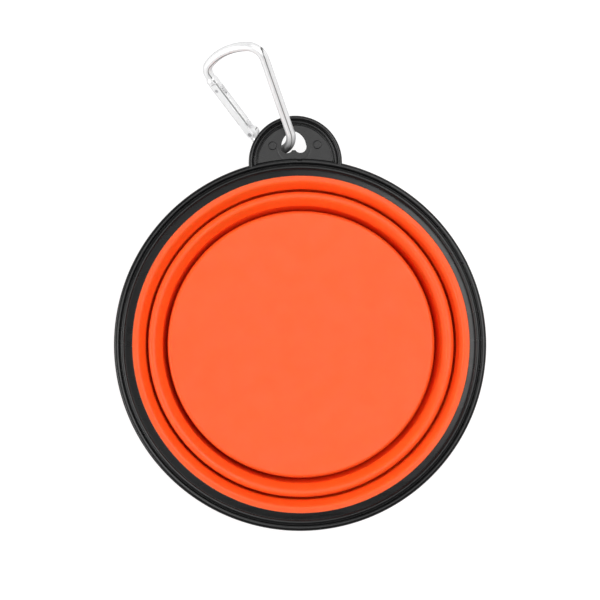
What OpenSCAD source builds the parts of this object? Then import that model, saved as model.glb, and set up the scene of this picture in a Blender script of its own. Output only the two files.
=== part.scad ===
// Folding travel bowl: a silicone bowl in a rigid rim with a hanging tab and a snap hook.
// Millimetres. The folded bowl rests on z = 0, its axis is Z and the tab points along +Y.

/* [Rim] */
// Outer diameter of the rim
rim_d = 130; // [100:1:180]
// Height of the folded bowl, table to the top of the inner bead
rim_h = 15; // [12:0.5:20]
// Width of the round outer lip
lip_w = 2.1; // [1.5:0.1:3]
// How far the lip's top lies below the bead's top
lip_drop = 0.4; // [0:0.1:1]
// Width of the round inner bead
bead_w = 1.36; // [1:0.02:2]
// Bead's centre, in from the rim's edge
bead_inset = 3.03; // [2.8:0.01:4]
// Depth of the groove between the lip and the bead, from the bead's top
groove_drop = 1.3; // [0.8:0.1:1.8]
// Where the silicone starts, in from the rim's edge
mouth_inset = 6.1; // [5:0.1:12]
// Drop from the bead's top to the silicone's edge
mouth_drop = 1.8; // [1:0.1:3]
// Thickness of the rim's inner edge
mouth_t = 0.3; // [0.2:0.05:0.6]
// Thickness of the rim over the silicone's root
cover_t = 1.1; // [0.6:0.1:2]
// Overhang of the lip past the skirt
skirt_inset = 0.4; // [0.2:0.1:1]
// Thickness of the skirt
skirt_t = 2.0; // [1.2:0.1:3]
// Height of the skirt's lower edge above the table
skirt_z = 5.5; // [3:0.5:9]

/* [Tab] */
// Diameter of the hanging tab
tab_d = 32.6; // [24:0.1:44]
// Tab's centre, in from the rim's edge
tab_inset = 1.3; // [0:0.1:8]
// Thickness of the tab's web
web_t = 1.1; // [0.8:0.1:2]
// Thickness of the tab at its lip
tab_t = 2.2; // [1.6:0.1:4]
// Width of the tab's round lip
tab_lip_w = 1.5; // [1.2:0.1:3]
// Width of the tab's bead
tab_bead_w = 0.9; // [0.6:0.1:1.5]
// Bead's centre, in from the tab's edge
tab_bead_inset = 2.2; // [2:0.05:4]
// Height of the tab's bead above the web
tab_bead_h = 0.8; // [0.3:0.1:1.2]
// Width of the thin ridge inside the bead
tab_ridge_w = 0.5; // [0.3:0.1:0.8]
// Ridge's centre, in from the tab's edge
tab_ridge_inset = 3.1; // [2.8:0.05:5]
// Chamfer under the tab's edge
tab_chamfer = 0.4; // [0.2:0.1:1]
// Hole's widest line, right of the tab's middle
hole_x = -0.42; // [-3:0.01:3]
// Hole's widest line, out from the tab's centre
hole_out = 5.6; // [3:0.1:9]
// Radius of each side of the hole's dome
dome_r = 5.45; // [3:0.05:8]
// Each dome circle's distance from the hole's middle
dome_shift = 1.15; // [0:0.01:2]
// Radius of the hole's two lower lobes
lobe_r = 2.1; // [1:0.1:3]
// Each lobe's distance from the hole's middle
lobe_x = 2.35; // [1:0.05:4]
// Lobes' drop below the widest line
lobe_drop = 0.2; // [0:0.1:2]
// Depth of the hole between the lobes
saddle_drop = 1.3; // [0:0.1:2]
// Diameter of the two round moulding marks
mark_d = 3.0; // [1:0.1:5]
// Height of the marks above the web
mark_h = 0.25; // [0.1:0.05:0.5]
// Each mark's distance from the tab's middle
mark_x = 7.8; // [6:0.1:12]
// Marks' distance out from the tab's centre
mark_out = 6.0; // [2:0.1:10]
// Width of the moulding gate's notch in the lip
notch_w = 1.2; // [0.5:0.1:3]
// Depth of the notch
notch_h = 0.35; // [0.1:0.05:0.8]
// Notch's distance right of the middle
notch_x = 1.55; // [-3:0.01:3]
// Width of the small nub in the rim's groove
nub_w = 0.9; // [0.4:0.1:2]
// Nub's distance right of the middle
nub_x = -1.85; // [-5:0.01:5]

/* [Silicone] */
// Height of the folded crests and of the floor
fold_h = 13.4; // [10:0.1:18]
// Upper crest, in from the rim's edge
upper_crest_inset = 7.55; // [7:0.05:14]
// Radius of the upper crest's round
upper_round = 1.0; // [0.6:0.1:2]
// Crease's outer wall at its foot, in from the rim's edge
crease_inset = 10.6; // [9:0.1:18]
// Height of the crease's outer wall at its foot
crease_z = 3.6; // [2:0.1:6]
// Inner side of the resting foot, in from the rim's edge
foot_inset = 11.4; // [10:0.1:20]
// Height of the foot's inner wall
foot_h = 2.6; // [1.5:0.1:5]
// Width of the flat foot
foot_w = 2.2; // [1:0.1:4]
// Bevel on the foot's outer edge
foot_bevel = 0.8; // [0.4:0.1:2]
// Inner side of the root held in the rim, in from the rim's edge
root_inset = 5.6; // [4:0.1:10]
// Height of the root's lower edge
root_z = 6.0; // [3:0.5:9]
// Thickness of the folding webs
fold_t = 1.2; // [0.8:0.1:2]
// How far each web leans in over its height
fold_lean = 0.4; // [0:0.1:1]
// Height of the webs' lower ends
fold_z = 0.5; // [0.3:0.1:1]
// Middle ring's crest, in from the rim's edge
middle_crest_inset = 13.25; // [12:0.05:24]
// Radius of the middle ring's crest
middle_round = 1.5; // [0.8:0.1:2.5]
// Inner side of the middle ring's foot, in from the rim's edge
middle_foot_inset = 18.2; // [16:0.1:30]
// Width of the middle ring's foot
middle_foot_w = 1.6; // [1:0.1:3]
// Height of the middle ring's foot above the table
middle_z = 0.3; // [0.1:0.1:1]
// Height of the middle foot's inner wall
middle_foot_h = 2.4; // [1:0.1:5]
// Edge of the floor, in from the rim's edge
floor_inset = 18.6; // [17:0.1:32]
// Thickness of the floor
floor_t = 2.4; // [1.5:0.1:4]
// Radius of the floor's upper edge
floor_round = 1.2; // [0.4:0.1:2]
// Width of the floor's standing ring
stand_w = 6.0; // [3:0.5:12]
// Depth of the recess inside the standing ring
stand_recess = 0.5; // [0.2:0.1:1]

/* [Snap hook] */
// Diameter of the bent rod
rod_d = 3.3; // [2:0.1:6]
// How much slimmer the straights are than the bends
straight_slim = 0.04; // [0.02:0.01:0.1]
// Straight length of the back
spine_l = 30.0; // [20:0.5:60]
// Centreline radius of the upper corner
corner_r = 5.6; // [4:0.1:12]
// Turn of the upper corner
corner_a = 86.4; // [60:0.1:120]
// Centreline radius of the arched arm
arm_r = 22.3; // [12:0.1:50]
// Turn of the arched arm
arm_a = 43.8; // [20:0.1:70]
// Straight length at each end of the arched arm
link_l = 0.3; // [0.2:0.1:2]
// Centreline radius of the nose's corner
nose_r = 4.5; // [3:0.1:10]
// Turn of the nose's corner
nose_a = 63.8; // [40:0.1:90]
// Straight length of the nose
nose_l = 3.0; // [2:0.1:8]
// Centreline radius of the narrow end
narrow_r = 6.8; // [4:0.1:14]
// Turn of the narrow end
narrow_a = 160; // [120:1:180]
// Straight length from the narrow end to the hinge
ankle_l = 4.1; // [3:0.1:8]
// Thickness of the flattened ends
tongue_t = 2.0; // [1.2:0.1:3]
// Radius of the round at the hinge
knuckle_r = 1.85; // [1.2:0.05:3]
// Radius of the cam beside the hinge
cam_r = 2.0; // [1.5:0.05:3]
// Cam's offset into the loop
cam_shift = 0.7; // [0.3:0.05:1.5]
// Rod's end below the hinge
neck_l = 2.9; // [2:0.1:5]
// Length of the rod's taper into the neck
neck_taper = 1.3; // [0.6:0.1:2]
// Width of the flattened neck between the rod and the hinge
neck_w = 2.5; // [1.5:0.1:3.2]
// Diameter of the swollen nose
head_d = 4.2; // [3:0.1:7]
// Length of the swollen nose
head_l = 1.2; // [0.8:0.1:4]
// Length of the nose's taper back to the rod
head_taper = 1.1; // [0.5:0.1:4]
// Width of the nose's tongue
hook_w = 3.6; // [2:0.1:6]
// Length of the nose's tongue
hook_l = 4.7; // [3:0.1:8]
// Snap hook's foot of the back, right of the tab's middle
hang_x = -1.54; // [-5:0.01:5]
// Snap hook's foot of the back, out from the tab's centre
hang_out = 10.49; // [8:0.01:14]
// Snap hook's foot of the back, above the rim's top
hang_rise = 0.55; // [0.3:0.01:4]
// Direction that the snap hook leans towards
hang_turn = -34.7; // [-90:0.1:90]
// Lean of the snap hook's plane out of the table's plane
hang_lean = 38.5; // [20:0.1:80]
// Turn of the snap hook within its own plane
hang_spin = 45.5; // [-90:0.1:90]

/* [Gate] */
// Diameter of the gate
gate_d = 4.2; // [3:0.1:7]
// Thickness of the gate across its flats
gate_flat = 3.8; // [2.6:0.1:6]
// Width of the gate's ears at the hinge
ear_w = 2.4; // [1.6:0.1:4]
// Start of the gate's full width, from the hinge
shoulder_l = 2.6; // [2:0.1:4]
// Radius of the scallop on the gate's inner shoulder
scallop_r = 1.3; // [0.8:0.1:2]
// Depth of the hinge slot, from the hinge
hinge_slot_l = 5.0; // [4:0.1:8]
// Gap between the gate's tip and the nose
tip_gap = 0.35; // [0.2:0.05:0.8]
// Depth of the latch slot, from the gate's tip
latch_slot_l = 5.2; // [4:0.1:9]
// Latch pin's place, from the gate's tip
latch_inset = 2.45; // [1.5:0.05:4]
// Diameter of the latch pin
latch_d = 1.2; // [0.8:0.1:2]
// Diameter of the hinge rivet
rivet_d = 1.4; // [1:0.1:2.5]
// Diameter of the bore for the spring
bore_d = 1.9; // [1.4:0.1:3]
// Metal left between the bore and the latch slot
bore_wall = 3.0; // [1:0.1:6]

/* [Spring] */
// Diameter of the plunger
plunger_d = 1.7; // [1.2:0.1:2.8]
// Radius of the plunger's round tip
tip_r = 0.8; // [0.5:0.05:1.4]
// Length of the plunger's shank
plunger_l = 3.4; // [2:0.1:6]
// Diameter of the spring's wire
wire_d = 0.3; // [0.2:0.05:0.5]
// Outer diameter of the spring
spring_d = 1.6; // [1.2:0.1:2.6]
// Pitch of the spring's curls
spring_pitch = 0.82; // [0.75:0.01:1.4]

/* [Fits] */
// Gap on each side of a flattened end in its slot
slot_gap = 0.1; // [0.05:0.01:0.3]
// Radial running clearance of the hinge rivet
rivet_gap = 0.05; // [0.02:0.01:0.1]
// Clearance around the latch pin in its hook
latch_gap = 0.15; // [0.1:0.01:0.4]
// Gap between the plunger's tip and the cam
cam_gap = 0.08; // [0.05:0.01:0.2]
// Gap at each end of the spring
spring_gap = 0.05; // [0.02:0.01:0.2]
// Gap between a folding web and the ring above it
fold_gap = 0.3; // [0.1:0.05:0.6]

/* [Hidden] */
$fn = 96;

// Colours
rim_colour = [0.06, 0.06, 0.065];
silicone_colour = [0.96, 0.33, 0.13];
metal_colour = [0.8, 0.8, 0.82];
steel_colour = [0.6, 0.6, 0.62];

// Rim, worked out from the driving sizes
rim_r = rim_d / 2;
lip_r = lip_w / 2;
lip_c = [rim_r - lip_r, rim_h - lip_drop - lip_r];
bead_r = bead_w / 2;
bead_c = [rim_r - bead_inset, rim_h - bead_r];
groove_z = rim_h - groove_drop;
mouth_r = rim_r - mouth_inset;
mouth_z = rim_h - mouth_drop;
root_top = groove_z - cover_t;
root_r = rim_r - root_inset;
skirt_r = rim_r - skirt_inset;
skirt_in = skirt_r - skirt_t;

// Tab
tab_r = tab_d / 2;
tab_y = rim_r - tab_inset;
hole_y = tab_y + hole_out;
mark_y = tab_y + mark_out;
tab_top = rim_h - lip_drop;
tab_z = tab_top - tab_t;
web_z = tab_z + web_t;
tab_lip_r = tab_lip_w / 2;
tab_bead_r = tab_bead_w / 2;
tab_ridge_r = tab_ridge_w / 2;

// Silicone: each flank is given by shares of its width and height, from the crest down
upper_flank_shares = [[0.56, 0.386]];
middle_inner_shares = [[0.19, 0.137], [0.565, 0.43]];
middle_back_shares = [0.3, 0.95];
upper_crest = [rim_r - upper_crest_inset, fold_h - upper_round];
crease = [rim_r - crease_inset, crease_z];
foot_r = rim_r - foot_inset;
middle_crest = [rim_r - middle_crest_inset, fold_h - middle_round];
middle_foot_r = rim_r - middle_foot_inset;
floor_r = rim_r - floor_inset;
floor_z = fold_h - floor_t;
upper_fold_top = middle_crest[1] - middle_round - fold_gap;
upper_fold_rise = fold_lean;
lower_fold_top = floor_z - fold_gap;

// Snap hook: ends of each stretch of the rod, in the hook's own plane
function ahead(p, h, l) = p + l * [cos(h), sin(h)];
function left_bend(p, h, r, a) = p + r * [sin(h + a) - sin(h), cos(h) - cos(h + a)];
function right_bend(p, h, r, a) = p + r * [sin(h) - sin(h - a), cos(h - a) - cos(h)];
up = 90;
down = 270;
spine_top = ahead([0, 0], up, spine_l);
corner_end = left_bend(spine_top, up, corner_r, corner_a);
arm_start = ahead(corner_end, up + corner_a, link_l);
arm_end = left_bend(arm_start, up + corner_a, arm_r, arm_a);
link_end = ahead(arm_end, up + corner_a + arm_a, link_l);
nose_start = left_bend(link_end, up + corner_a + arm_a, nose_r, nose_a);
nose_tip = ahead(nose_start, up + corner_a + arm_a + nose_a, nose_l);
ankle = right_bend([0, 0], down, narrow_r, narrow_a);
hinge = ahead(ankle, down - narrow_a, ankle_l);
gate_line = nose_tip - hinge;
gate_l = norm(gate_line) - tip_gap;
gate_turn = atan2(gate_line[1], gate_line[0]) - up;
latch_y = gate_l - latch_inset;
bore_end = gate_l - latch_slot_l - bore_wall;
slot_t = tongue_t + 2 * slot_gap;
rod_r = rod_d / 2;
lap_share = 1 / 16;
straight_lap = rod_d * lap_share;
taper_end_share = 0.9;
neck_end_share = 0.66;
scallop_share = 1 / 3;

// Plunger and spring along the gate, from the hinge
tip_y = sqrt(pow(cam_r + tip_r, 2) - pow(cam_shift, 2)) + cam_gap;
plunger_end = tip_y + plunger_l;
spring_r = (spring_d - wire_d) / 2;
spring_start = plunger_end + spring_gap + wire_d / 2;
spring_l = bore_end - spring_gap - wire_d / 2 - spring_start;
spring_turns = floor(spring_l / spring_pitch);
rings_a_turn = 8;
wire_sides = 6;

function flank(top, foot, shares) = [for (s = shares)
    [top[0] + (foot[0] - top[0]) * s[0], top[1] + (foot[1] - top[1]) * s[1]]];

// Rim: lip, groove, bead, sloping inner edge, cover over the root and skirt in one turned section
module rim_section() {
    polygon([
        [mouth_r, mouth_z - mouth_t],
        [mouth_r, mouth_z],
        [bead_c[0] - bead_r, bead_c[1]],
        bead_c,
        [bead_c[0], groove_z],
        [skirt_r, groove_z],
        [skirt_r, skirt_z],
        [skirt_in, skirt_z],
        [skirt_in, root_top],
        [root_r, root_top]
    ]);
    translate(bead_c) circle(r = bead_r);
    translate(lip_c) circle(r = lip_r);
}

// Tab: turned about its own centre, with its own lip, bead and thin ridge
module tab_section() {
    lip_in = tab_r - tab_lip_w;
    lip_z = tab_top - tab_lip_r;
    polygon([
        [0, tab_z],
        [tab_r - tab_chamfer, tab_z],
        [tab_r, tab_z + tab_chamfer],
        [tab_r, lip_z],
        [lip_in, lip_z],
        [lip_in, web_z],
        [0, web_z]
    ]);
    translate([tab_r - tab_lip_r, lip_z]) circle(r = tab_lip_r);
    intersection() {
        union() {
            translate([tab_r - tab_bead_inset, web_z + tab_bead_h - tab_bead_r]) circle(r = tab_bead_r);
            translate([tab_r - tab_ridge_inset, web_z]) circle(r = tab_ridge_r);
        }
        translate([0, tab_z]) square([tab_r, tab_t]);
    }
}

module lobe(side) {
    translate([side * lobe_x, -lobe_drop, 0]) cylinder(r = lobe_r, h = rim_h);
}

// Kidney-shaped hole: a dome of two arcs over two round lobes
module tab_hole() {
    half = dome_r - dome_shift;
    translate([hole_x, hole_y, 0]) {
        intersection() {
            translate([dome_shift, 0, 0]) cylinder(r = dome_r, h = rim_h);
            translate([-dome_shift, 0, 0]) cylinder(r = dome_r, h = rim_h);
            translate([-half, 0, 0]) cube([2 * half, dome_r, rim_h]);
        }
        translate([-half, -lobe_drop, 0]) cube([2 * half, lobe_drop, rim_h]);
        translate([-lobe_x, -saddle_drop, 0]) cube([2 * lobe_x, saddle_drop, rim_h]);
        lobe(-1);
        lobe(1);
    }
}

module rim_frame() {
    groove_c = (lip_c[0] - lip_r + bead_c[0] + bead_r) / 2;
    color(rim_colour) difference() {
        union() {
            rotate_extrude() rim_section();
            difference() {
                union() {
                    translate([0, tab_y, 0]) rotate_extrude() tab_section();
                    for (side = [-1, 1])
                        translate([side * mark_x, mark_y, tab_z]) cylinder(d = mark_d, h = web_t + mark_h);
                }
                translate([0, 0, tab_z - tab_t]) cylinder(r = lip_c[0], h = rim_h);
            }
            translate([nub_x - nub_w / 2, groove_c - nub_w / 2, root_top])
                cube([nub_w, nub_w, lip_c[1] + lip_r / 2 - root_top]);
        }
        tab_hole();
        translate([notch_x - notch_w / 2, lip_c[0] - lip_r, tab_top - notch_h]) cube([notch_w, lip_w, rim_h]);
    }
}

// Upper band: root in the rim, upper crest, outer wall of the first crease and the resting foot
module bowl_upper_wall() {
    crest_in = [upper_crest[0] - upper_round, upper_crest[1]];
    color(silicone_colour) rotate_extrude() {
        polygon(concat(
            [[skirt_in, root_z], [skirt_in, root_top], [root_r, root_top], [mouth_r, mouth_z - mouth_t],
             [mouth_r, mouth_z], [upper_crest[0], fold_h], upper_crest, crest_in],
            flank(crest_in, crease, upper_flank_shares),
            [crease, [foot_r, foot_h], [foot_r, 0], [foot_r + foot_w, 0],
             [foot_r + foot_w + foot_bevel, foot_bevel]]
        ));
        translate(upper_crest) circle(r = upper_round);
    }
}

// First folding web, standing beside the upper band's foot and ending under the middle crest
module upper_fold() {
    top_r = foot_r - fold_lean;
    color(silicone_colour) rotate_extrude() polygon([
        [foot_r - fold_t, fold_z],
        [foot_r, fold_z],
        [foot_r, foot_h],
        [top_r, upper_fold_top + upper_fold_rise],
        [top_r - fold_t, upper_fold_top]
    ]);
}

// Middle ring: the second crest and the thick band down to the second crease
module bowl_middle_ring() {
    crest_in = middle_crest - [middle_round, 0];
    crest_out = middle_crest + [middle_round, 0];
    foot_in = [middle_foot_r, middle_foot_h];
    foot_out = [middle_foot_r + middle_foot_w, middle_z];
    color(silicone_colour) rotate_extrude() {
        polygon(concat(
            [middle_crest, crest_in],
            flank(crest_in, foot_in, middle_inner_shares),
            [foot_in, [middle_foot_r, middle_z], foot_out],
            [middle_crest - middle_round * middle_back_shares]
        ));
        translate(middle_crest) circle(r = middle_round);
    }
}

// Second folding web, between the middle ring's foot and the floor
module lower_fold() {
    top_r = middle_foot_r - fold_lean;
    color(silicone_colour) rotate_extrude() polygon([
        [middle_foot_r - fold_t, fold_z],
        [middle_foot_r, fold_z],
        [middle_foot_r, middle_foot_h],
        [top_r, lower_fold_top],
        [top_r - fold_t, lower_fold_top]
    ]);
}

// Floor: a thick plate with a round edge and a shallow recess inside its standing ring
module bowl_base() {
    color(silicone_colour) rotate_extrude() {
        polygon([
            [0, floor_z + stand_recess],
            [floor_r - stand_w - stand_recess, floor_z + stand_recess],
            [floor_r - stand_w, floor_z],
            [floor_r, floor_z],
            [floor_r, fold_h - floor_round],
            [floor_r - floor_round, fold_h - floor_round],
            [floor_r - floor_round, fold_h],
            [0, fold_h]
        ]);
        translate([floor_r - floor_round, fold_h - floor_round]) circle(r = floor_round);
    }
}

// From the hook's own plane to where it hangs in the tab
module hung() {
    translate([hang_x, tab_y + hang_out, rim_h + hang_rise]) rotate([0, 0, hang_turn])
        rotate([hang_lean, 0, 0]) rotate([0, 0, hang_spin]) children();
}

// From the gate's own line, hinge at the origin and nose along +Y, to the hook's plane
module along_gate() {
    translate([hinge[0], hinge[1], 0]) rotate([0, 0, gate_turn]) children();
}

// Straight stretch of the rod, a little slimmer than the bends that it runs into
module straight(start, end) {
    translate([0, start, 0]) rotate([-90, 0, 0]) cylinder(d = rod_d - straight_slim, h = end - start);
}

module run(l) {
    straight(-straight_lap, l + straight_lap);
    translate([0, l, 0]) children();
}

module turn_left(r, a) {
    translate([-r, 0, 0]) {
        rotate_extrude(angle = a) translate([r, 0]) circle(d = rod_d);
        rotate([0, 0, a]) translate([r, 0, 0]) children();
    }
}

module turn_right(r, a) {
    mirror([1, 0, 0]) turn_left(r, a) mirror([1, 0, 0]) children();
}

module rod_upwards() {
    run(spine_l) turn_left(corner_r, corner_a) run(link_l) turn_left(arm_r, arm_a)
        run(link_l) turn_left(nose_r, nose_a) straight(-straight_lap, nose_l - straight_lap);
}

module rod_downwards() {
    rotate([0, 0, 180]) turn_right(narrow_r, narrow_a) {
        straight(-straight_lap, ankle_l - neck_l);
        translate([0, ankle_l - neck_l - straight_lap, 0]) rotate([-90, 0, 0])
            cylinder(d1 = rod_d, d2 = rod_d * neck_end_share, h = neck_taper);
    }
}

module plate(h) {
    translate([0, 0, -h / 2]) children();
}

// Flattened lower end: a round knuckle for the rivet with a cam beside it
module knuckle() {
    plate(tongue_t) {
        cylinder(r = knuckle_r, h = tongue_t);
        translate([cam_shift, 0, 0]) cylinder(r = cam_r, h = tongue_t);
        translate([-neck_w / 2, -neck_l, 0]) cube([neck_w, neck_l, tongue_t]);
    }
}

// Nose: a swollen head and a flat tongue with a hook that is open to the inside
module nose() {
    head_y = gate_l + tip_gap;
    hook_y = head_y - hook_l;
    half = hook_w / 2;
    notch_r = latch_d / 2 + latch_gap;
    translate([0, head_y, 0]) rotate([-90, 0, 0]) {
        cylinder(d = head_d, h = head_l);
        translate([0, 0, head_l]) cylinder(d1 = head_d, d2 = rod_d * taper_end_share, h = head_taper);
    }
    difference() {
        plate(tongue_t) {
            translate([-half, hook_y + half, 0]) cube([hook_w, hook_l - half + head_l / 2, tongue_t]);
            translate([0, hook_y + half, 0]) cylinder(d = hook_w, h = tongue_t);
        }
        plate(head_d) {
            translate([0, latch_y, 0]) cylinder(r = notch_r, h = head_d);
            intersection() {
                difference() {
                    cylinder(r = latch_y + notch_r, h = head_d);
                    cylinder(r = latch_y - notch_r, h = head_d);
                }
                translate([0, latch_y - hook_w, 0]) cube([hook_w, 2 * hook_w, head_d]);
            }
        }
    }
}

module carabiner_body() {
    color(metal_colour) hung() difference() {
        union() {
            rod_upwards();
            rod_downwards();
            along_gate() {
                knuckle();
                nose();
            }
        }
        along_gate() plate(gate_d) cylinder(d = rivet_d, h = gate_d);
    }
}

// Gate: a round bar with two flats, forked at the hinge and slotted at the latch, bored for the spring
module carabiner_gate() {
    color(metal_colour) hung() along_gate() difference() {
        intersection() {
            union() {
                difference() {
                    translate([0, shoulder_l, 0]) rotate([-90, 0, 0])
                        cylinder(d = gate_d, h = gate_l - shoulder_l);
                    plate(gate_d) translate([gate_d / 2 + scallop_r * scallop_share, shoulder_l, 0])
                        cylinder(r = scallop_r, h = gate_d);
                }
                plate(gate_flat) {
                    translate([-ear_w / 2, 0, 0]) cube([ear_w, hinge_slot_l, gate_flat]);
                    cylinder(d = ear_w, h = gate_flat);
                }
            }
            plate(gate_flat) translate([-gate_d, -ear_w, 0])
                cube([2 * gate_d, gate_l + 2 * ear_w, gate_flat]);
        }
        plate(slot_t) {
            translate([-gate_d, -gate_d, 0]) cube([2 * gate_d, gate_d + hinge_slot_l, slot_t]);
            translate([-gate_d, gate_l - latch_slot_l, 0]) cube([2 * gate_d, latch_slot_l + gate_d, slot_t]);
        }
        rotate([-90, 0, 0]) cylinder(d = bore_d, h = bore_end);
        plate(gate_d) {
            cylinder(d = rivet_d + 2 * rivet_gap, h = gate_d);
            translate([0, latch_y, 0]) cylinder(d = latch_d, h = gate_d);
        }
    }
}

module gate_rivet() {
    color(steel_colour) hung() along_gate() plate(gate_flat) cylinder(d = rivet_d, h = gate_flat);
}

module latch_pin() {
    color(steel_colour) hung() along_gate() plate(gate_flat) translate([0, latch_y, 0])
        cylinder(d = latch_d, h = gate_flat);
}

module spring_plunger() {
    color(steel_colour) hung() along_gate() translate([0, tip_y, 0]) {
        sphere(r = tip_r);
        rotate([-90, 0, 0]) cylinder(d1 = 2 * tip_r, d2 = plunger_d, h = plunger_d - 2 * tip_r);
        translate([0, plunger_d - 2 * tip_r, 0]) rotate([-90, 0, 0])
            cylinder(d = plunger_d, h = plunger_l - plunger_d + 2 * tip_r);
    }
}

// Spring: one unbroken tube swept along a helix, ring by ring
function coil_centre(i) = let (a = 360 * i / rings_a_turn)
    [spring_r * cos(a), spring_r * sin(a), spring_l * i / (rings_a_turn * spring_turns)];
function coil_point(i, k) = let (a = 360 * i / rings_a_turn, b = 360 * k / wire_sides, c = coil_centre(i))
    c + wire_d / 2 * [cos(b) * cos(a), cos(b) * sin(a), sin(b)];
rings = rings_a_turn * spring_turns;
coil_points = [for (i = [0:rings]) for (k = [0:wire_sides - 1]) coil_point(i, k)];
coil_sides = [for (i = [0:rings - 1]) for (k = [0:wire_sides - 1]) let (
    a = i * wire_sides + k,
    b = i * wire_sides + (k + 1) % wire_sides,
    c = a + wire_sides,
    d = b + wire_sides
) each [[a, b, c], [b, d, c]]];
coil_ends = [[for (k = [0:wire_sides - 1]) wire_sides - 1 - k],
    [for (k = [0:wire_sides - 1]) rings * wire_sides + k]];
coil_gap = min([for (i = [0:rings - rings_a_turn + 1])
    for (j = [i + rings_a_turn - 1:min(rings, i + rings_a_turn + 1)])
        norm(coil_centre(i) - coil_centre(j))]) - wire_d;
echo(least_gap_between_the_springs_curls = coil_gap);

module gate_spring() {
    color(steel_colour) hung() along_gate() translate([0, spring_start, 0]) rotate([-90, 0, 0])
        polyhedron(points = coil_points, faces = concat(coil_sides, coil_ends), convexity = rings_a_turn);
}

rim_frame();
bowl_upper_wall();
upper_fold();
bowl_middle_ring();
lower_fold();
bowl_base();
carabiner_body();
carabiner_gate();
gate_rivet();
latch_pin();
gate_spring();
spring_plunger();
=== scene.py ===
"""Folded silicone bowl with its rim, hanging tab and snap hook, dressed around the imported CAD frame."""

import math

import bmesh
import bpy
import numpy as np
from bpy.props import FloatProperty, FloatVectorProperty, IntProperty, PointerProperty
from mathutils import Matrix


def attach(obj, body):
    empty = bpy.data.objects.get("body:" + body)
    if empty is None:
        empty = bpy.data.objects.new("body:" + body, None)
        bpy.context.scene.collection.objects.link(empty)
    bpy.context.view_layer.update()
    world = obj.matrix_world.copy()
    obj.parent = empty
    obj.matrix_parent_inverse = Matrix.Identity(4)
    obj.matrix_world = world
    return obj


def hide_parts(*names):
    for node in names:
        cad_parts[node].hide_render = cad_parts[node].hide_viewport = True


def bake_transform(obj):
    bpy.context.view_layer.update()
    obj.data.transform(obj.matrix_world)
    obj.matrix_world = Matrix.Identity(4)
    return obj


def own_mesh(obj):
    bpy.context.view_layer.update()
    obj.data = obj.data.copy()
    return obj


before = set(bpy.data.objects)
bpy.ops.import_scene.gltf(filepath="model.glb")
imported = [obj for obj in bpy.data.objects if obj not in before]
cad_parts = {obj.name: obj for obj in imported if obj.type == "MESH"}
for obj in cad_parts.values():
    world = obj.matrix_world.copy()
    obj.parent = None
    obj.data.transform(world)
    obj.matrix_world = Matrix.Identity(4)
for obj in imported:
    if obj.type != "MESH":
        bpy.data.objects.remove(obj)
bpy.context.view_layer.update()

bl_info = {
    "name": "Folding silicone bowl",
    "version": (1, 0, 0),
    "blender": (4, 5, 0),
    "location": "View3D > Sidebar > Folding bowl",
    "description": "Builds a folded silicone bowl with its rim, hanging tab and snap hook",
    "category": "Object",
}

MM = 0.001
TURN = 2 * math.pi
AREA_LIGHT = 4  # an area lamp's watts for each square metre and each unit of brightness

# Shapes, in millimetres where nothing else is said
SKIRT_ROUND = 0.35  # round of the skirt's lower edges
HEM_ROUND, EDGE_ROUND = 0.05, 0.12  # rounds of the mouth's lower edge, and of the inner slope's two ends
GROOVE_LIFT = 0.02  # how far above the groove's floor the arcs of bead and lip end
NOTCH_ARC = (86, 94)  # degrees between which the rim is turned in finer steps
NOTCH_FADE = 0.3  # width of the smooth step at each side of the notch
NOTCH_START, NOTCH_GROW = 0.2, 0.4  # where it starts beyond the lip's crest, and the width it deepens over
OUTLINE_STEPS = 7200  # directions in which the hole's outline is measured
TINY = 1e-6  # keeps a division by a part of a direction finite
NEVER = 1e9  # reach of a ray that nothing stops
RAY_LEAN = 0.35  # share of the hole's own outward direction that a ray takes over
TUCK, TUCK_STEP = 0.55, 0.012  # how far inside the lip's middle a row stops: the first, and more for each next
COVER_GAP, COVER_FALL = 0.06, 1.5  # tab's distance under the lip's round, and its fall for each unit inwards
MARK_SINK = 0.2  # how far the moulding marks reach into the web
FOOT_FLARE = 0.8  # how far the resting foot's outer side goes out, and up, to where the outer wall starts
FOOT_TOP, WALL_TOP = 2.6, 6.0  # heights of the resting foot's inner side and of the outer wall's upper end
RING_FOOT, RING_FOOT_TOP = 0.3, 2.4  # heights of the middle ring's foot and of its inner side
WEB_FOOT = 0.6  # height of the webs' lower ends
WEB_SINK = 0.05  # how far the webs reach into the foot outside them
WEB_CROWN = 0.9  # how far a web's upper end is under the middle crest's middle, or over the floor's underside
FLANK_FALL, SLOPE_FALL = 1.43, 1.11  # fall of the upper band's and middle ring's flanks for each unit inwards
SPRING_AXIS = (-0.56301, 0.78501, 0.25842)  # along the gate's bore, towards the spring's end that stays put

# Stage
LAMP_DISTANCE = 1.6  # metres from the bowl's axis at the floor
LAMPS = (  # brightness, then azimuth and elevation in degrees, and width and height in metres
    ("key", 18, 62, 1.1, 0.9),
    ("overhead", 90, 89, 1.0, 1.0),
    ("left", 190, 26, 1.4, 0.5),
    ("far", 75, 42, 1.1, 0.7),
)
FLOOR_HALF = 3.0  # metres from the axis to the floor's edge
FLOOR_DROP = 0.02  # millimetres from the bowl's foot down to the floor
PAPER_GREY = 0.8  # reflectance of the floor for the light that falls on the bowl from it
HORIZON = (0.25, 0.5)  # upward part of a direction where the walls end and where the dim room starts


def length(label, text, millimetres):
    """A size in metres, shown with its unit, from a default in millimetres."""
    return FloatProperty(name=label, description=text, default=millimetres * MM, unit="LENGTH", precision=5)


def share(label, text, default):
    """A number from 0 to 1."""
    return FloatProperty(name=label, description=text, default=default, min=0, max=1, subtype="FACTOR")


def colour(label, text, default):
    """A linear colour with its alpha."""
    return FloatVectorProperty(name=label, description=text, default=(*default, 1), size=4, subtype="COLOR",
                               min=0, max=1)


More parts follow.
